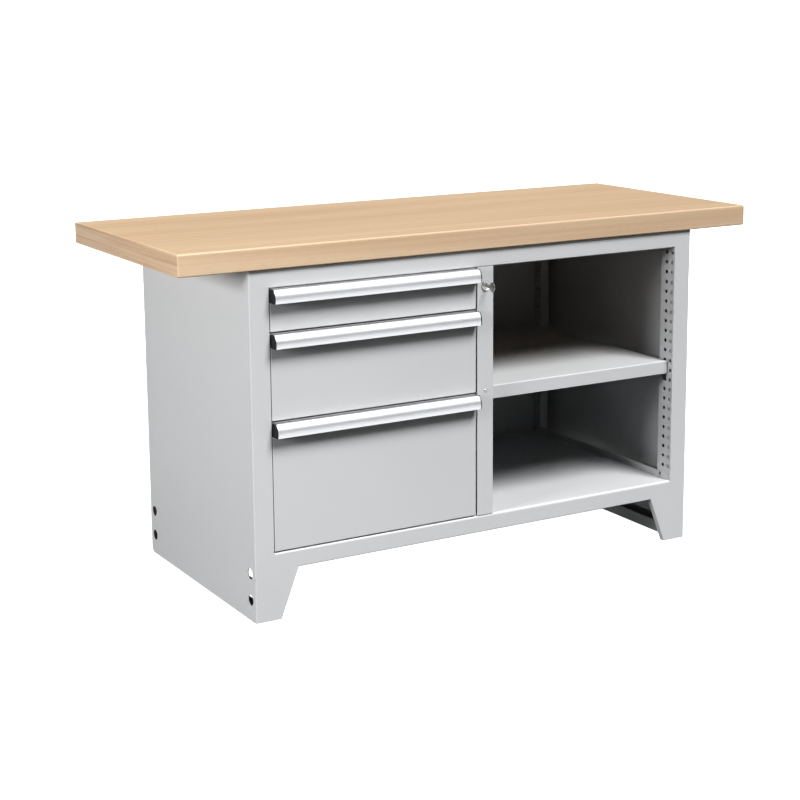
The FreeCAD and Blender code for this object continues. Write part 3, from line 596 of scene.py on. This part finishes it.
tree.links.new(lowered.outputs[0], whole.inputs[0])
way = addNode(tree, "GeometryNodeInputNamedAttribute", {"data_type": "FLOAT_VECTOR", "Name": "facing"})
aim = addNode(tree, "FunctionNodeAlignRotationToVector", {"axis": "Z"}, {"Vector": way.outputs[0]})
spin = addNode(tree, "FunctionNodeRandomValue", {"data_type": "FLOAT", 2: 0.0, 3: screw["mostTurn"]},
               {"Seed": given["Seed"]})
twist = addNode(tree, "FunctionNodeAxisAngleToRotation", {"Axis": (0, 0, 1)}, {"Angle": spin.outputs[1]})
posed = addNode(tree, "FunctionNodeRotateRotation", {"rotation_space": "LOCAL"},
                {0: aim.outputs[0], 1: twist.outputs[0]})
seats = addNode(tree, "GeometryNodeMeshToPoints", {}, {"Mesh": given["Geometry"]})
placed = addNode(tree, "GeometryNodeInstanceOnPoints", {},
                 {"Points": seats.outputs[0], "Instance": whole.outputs[0], "Rotation": posed.outputs[0]})
real = addNode(tree, "GeometryNodeRealizeInstances", {}, {0: placed.outputs[0]})
coated = addNode(tree, "GeometryNodeSetMaterial", {},
                 {"Geometry": real.outputs[0], "Material": given["Material"]})
addNode(tree, "NodeGroupOutput", {}, {0: coated.outputs[0]})
screwTree = tree

for node, (length, facing) in screwNodes.items():
    points, ways = [], []
    for low, high in solidBoxes(node):
        way = facing((low, high))
        reach = sum(max(low[i] * way[i], high[i] * way[i]) for i in range(3))
        middle = (low + high) / 2
        outer = middle + way * (reach - middle.dot(way))
        points.append(outer - way * screw["headHeight"] * mm / 2)
        ways.append(way)
    made = grown(node + "_heads", points, screwTree, {**screwInputs, "Shank Length": length * mm},
                 facing=ways)
    made.set_sharp_from_angle(angle=math.radians(screw["sharpFrom"]))
    makePiece(node + "_heads", made, None, "frame", "zinc_plated_steel", node)
print("screws made")

# lock and key

lock = {"flange": 3.0, "barrel": 9.5, "bore": 6.6, "dish": 0.8, "dishIn": 0.5, "dishOut": 0.6,
        "rounds": (0.3, 0.2, 0.3, 1.2, 0.2, 0), "support": 0.1, "plugEase": 0.4, "slot": 1.5,
        "slotHeight": 7.4, "steps": 48}

low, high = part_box("lock_housing")
centre = ((low[0] + high[0]) / 2, (low[2] + high[2]) / 2)
flangeRadius = (high[0] - low[0]) / 2
face, flangeBack = low[1], low[1] + lock["flange"] * mm
barrel, bore, dish = lock["barrel"] * mm, lock["bore"] * mm, face + lock["dish"] * mm
path = roundPath([(bore, high[1]), (bore, dish), (barrel - lock["dishIn"] * mm, dish),
                  (barrel + lock["dishOut"] * mm, face), (flangeRadius, face), (flangeRadius, flangeBack),
                  (barrel, flangeBack), (barrel, high[1])],
                 [radius * mm for radius in lock["rounds"]], 3, lock["support"] * mm)
makePiece("lock_ring", turned("lock_ring", centre, path, lock["steps"]), finishes["nickelPlate"], "frame",
          "nickel", "lock_housing")

low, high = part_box("lock_plug")
slot, tall = lock["slot"] * mm / 2, lock["slotHeight"] * mm / 2
outlines = [circle(0, 0, (high[0] - low[0]) / 2, lock["steps"]),
            [(-slot, -tall), (-slot, tall), (slot, tall), (slot, -tall)]]
middle = (low[1] + high[1]) / 2
stand = Matrix.Translation((centre[0], middle, centre[1])) @ Matrix.Rotation(math.pi / 2, 4, "X")
makePiece("lock_core", flatPlate("lock_core", outlines, high[1] - low[1], lock["plugEase"] * mm, stand),
          finishes["nickelPlate"], "lock_core", "nickel", "lock_plug")

# each cut in the blade: distances along it from where the cut starts, with the share of its depth there
keyBlank = {"plate": 1.2, "ease": 0.25, "bowHole": 3.5, "bowSteps": 40, "blade": 7.0, "shoulder": 14,
            "firstCut": 16, "cutPitch": 5, "cutDepths": (1.6, 2.4, 1.2, 2.0),
            "cutShape": ((0, 0), (1.2, 1), (2.6, 1), (3.8, 0)), "tip": 3}

low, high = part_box("key")
bow = (high[2] - low[2]) / 2
blade = keyBlank["blade"] * mm / 2
neck = math.sqrt(bow * bow - blade * blade)
turnAt = math.asin(blade / bow)
steps = keyBlank["bowSteps"]
angles = [turnAt + (2 * math.pi - 2 * turnAt) * i / steps for i in range(steps + 1)]
outline = [(bow * math.cos(angle), bow * math.sin(angle)) for angle in angles]
tip = (high[1] - low[1]) - bow
taper = tip - keyBlank["tip"] * mm
cuts = [(neck + keyBlank["shoulder"] * mm, -blade)]
for i, depth in enumerate(keyBlank["cutDepths"]):
    start = neck + (keyBlank["firstCut"] + i * keyBlank["cutPitch"]) * mm
    cuts += [(start + along * mm, -blade + share * depth * mm) for along, share in keyBlank["cutShape"]]
outline += [point for point in cuts if point[0] < taper] + [(taper, -blade), (tip, 0), (taper, blade)]
lay = Matrix(((0, 0, 1, centre[0]), (1, 0, 0, low[1] + bow), (0, 1, 0, centre[1]), (0, 0, 0, 1)))
makePiece("key_flat", flatPlate("key_flat", [outline, circle(-bow / 2, 0, keyBlank["bowHole"] * mm)],
                                keyBlank["plate"] * mm, keyBlank["ease"] * mm, lay),
          finishes["nickelPlate"], "lock_core", "nickel", "key")
print("lock made")

# finishes on the parts that stay as they are; the replaced ones are already hidden

for name, part in frame["nodes"].items():
    if part.hide_render:
        continue
    part.data.materials.clear()
    part.data.materials.append(slotFinish[slotOfNode[name]])
print("finishes assigned")

# floor, light and camera

# the floor in metres with its grain in mm, the sun's angles in degrees, the sky's brightness from
# straight down (0) over eye level (0.5) to straight up (1)
studio = {"floor": "#a0a0a0", "cloud": "#a6a6a6", "floorSize": 4000, "floorGrain": 60, "floorGlow": 0.82,
          "floorRough": 0.9, "sunPower": 3.38, "sunHigh": 54, "sunFrom": 15, "sunSoft": 27,
          "sky": [(0.0, 0.03), (0.46, 0.025), (0.56, 0.02), (0.8, 0.10), (1.0, 0.16)]}

# soft panels: power in watts, place, what they face, width and height in metres
panels = {"leftPanel": (82, (-3.85, -1.0, 1.45), (-0.4, -0.1, 0.45), (1.0, 0.9)),
          "rearPanel": (105, (3.0, 3.4, 0.8), (0.2, 0.2, 0.5), (2.4, 1.0))}

# matt white paper laid out under the bench: it glows, so that it stays white and hides the shadow
stageFloor, tree, shader, place = startMaterial("paperFloor", {
    "Roughness": studio["floorRough"], "Specular IOR Level": 0.1, "Emission Color": (1, 1, 1, 1),
    "Emission Strength": studio["floorGlow"]})
cloud = addNode(tree, "ShaderNodeTexNoise", {"Scale": 1 / (studio["floorGrain"] * mm)}, {"Vector": place})
colour = addNode(tree, "ShaderNodeMix",
                 {"data_type": "RGBA", 6: linear(studio["floor"]), 7: linear(studio["cloud"])},
                 {0: cloud.outputs["Fac"]})
tree.links.new(colour.outputs[2], shader.inputs["Base Color"])
sheet = bpy.data.meshes.new("floorSheet")
edge = studio["floorSize"] / 2
sheet.from_pydata([(-edge, -edge, 0), (edge, -edge, 0), (edge, edge, 0), (-edge, edge, 0)], [],
                  [(0, 1, 2, 3)])
sheet.materials.append(stageFloor)
floor = bpy.data.objects.new("floorSheet", sheet)
bpy.context.scene.collection.objects.link(floor)
floor.visible_diffuse = False  # the white floor throws no light back, so the open bay stays dark

# a sky that is brighter overhead than at eye level
world = bpy.data.worlds.new("softSky")
world.use_nodes = True
tree = world.node_tree
ways = addNode(tree, "ShaderNodeTexCoord")
parts = addNode(tree, "ShaderNodeSeparateXYZ", {}, {0: ways.outputs["Generated"]})
height = addNode(tree, "ShaderNodeMapRange", {"From Min": -1.0}, {"Value": parts.outputs["Z"]})
shade = addNode(tree, "ShaderNodeValToRGB",
                {"stops": [(level, (glow, glow, glow, 1)) for level, glow in studio["sky"]]},
                {"Fac": height.outputs["Result"]})
# what the viewer sees past the floor is plain white paper
seen = addNode(tree, "ShaderNodeLightPath").outputs["Is Camera Ray"]
backdrop = addNode(tree, "ShaderNodeMix", {"data_type": "RGBA", 7: (1, 1, 1, 1)},
                   {0: seen, 6: shade.outputs["Color"]})
tree.links.new(backdrop.outputs[2], tree.nodes["Background"].inputs["Color"])
bpy.context.scene.world = world

sun = bpy.data.lights.new("frontWindow", "SUN")
sun.energy, sun.angle = studio["sunPower"], math.radians(studio["sunSoft"])
lamp = bpy.data.objects.new("frontWindow", sun)
tilt, turn = math.radians(studio["sunHigh"]), math.radians(studio["sunFrom"])
shine = Vector((-math.sin(turn) * math.cos(tilt), math.cos(turn) * math.cos(tilt), -math.sin(tilt)))
lamp.rotation_mode = "QUATERNION"
lamp.rotation_quaternion = shine.to_track_quat("-Z", "Y")
bpy.context.scene.collection.objects.link(lamp)

for name, (power, place, target, size) in panels.items():
    panel = bpy.data.lights.new(name, "AREA")
    panel.shape, panel.size, panel.size_y = "RECTANGLE", *size
    panel.energy = power
    lamp = bpy.data.objects.new(name, panel)
    lamp.location = place
    lamp.rotation_mode = "QUATERNION"
    lamp.rotation_quaternion = (Vector(target) - lamp.location).to_track_quat("-Z", "Y")
    lamp.visible_glossy = False  # they light the bench without being mirrored in it
    bpy.context.scene.collection.objects.link(lamp)

# place in metres, angles in degrees, lens and sensor in mm
camera = {"place": (-2.174, -3.648, 1.390), "heading": 30.04, "tilt": 10.73, "roll": -0.44, "lens": 78.2,
          "sensor": 36, "shift": -0.1}

heading, tilt, roll = (math.radians(camera[key]) for key in ("heading", "tilt", "roll"))
ahead = Vector((math.sin(heading) * math.cos(tilt), math.cos(heading) * math.cos(tilt), -math.sin(tilt)))
right = Vector((math.cos(heading), -math.sin(heading), 0))
up = right.cross(ahead)
right, up = right * math.cos(roll) + up * math.sin(roll), up * math.cos(roll) - right * math.sin(roll)
lens = bpy.data.cameras.new("viewCamera")
lens.lens, lens.sensor_width, lens.shift_y = camera["lens"], camera["sensor"], camera["shift"]
viewer = bpy.data.objects.new("viewCamera", lens)
viewer.matrix_world = Matrix((right, up, -ahead)).transposed().to_4x4()
viewer.location = camera["place"]
bpy.context.scene.collection.objects.link(viewer)
bpy.context.scene.camera = viewer
bpy.context.scene.view_settings.view_transform = "Standard"
bpy.context.scene.view_settings.look = "High Contrast"
print("studio made")
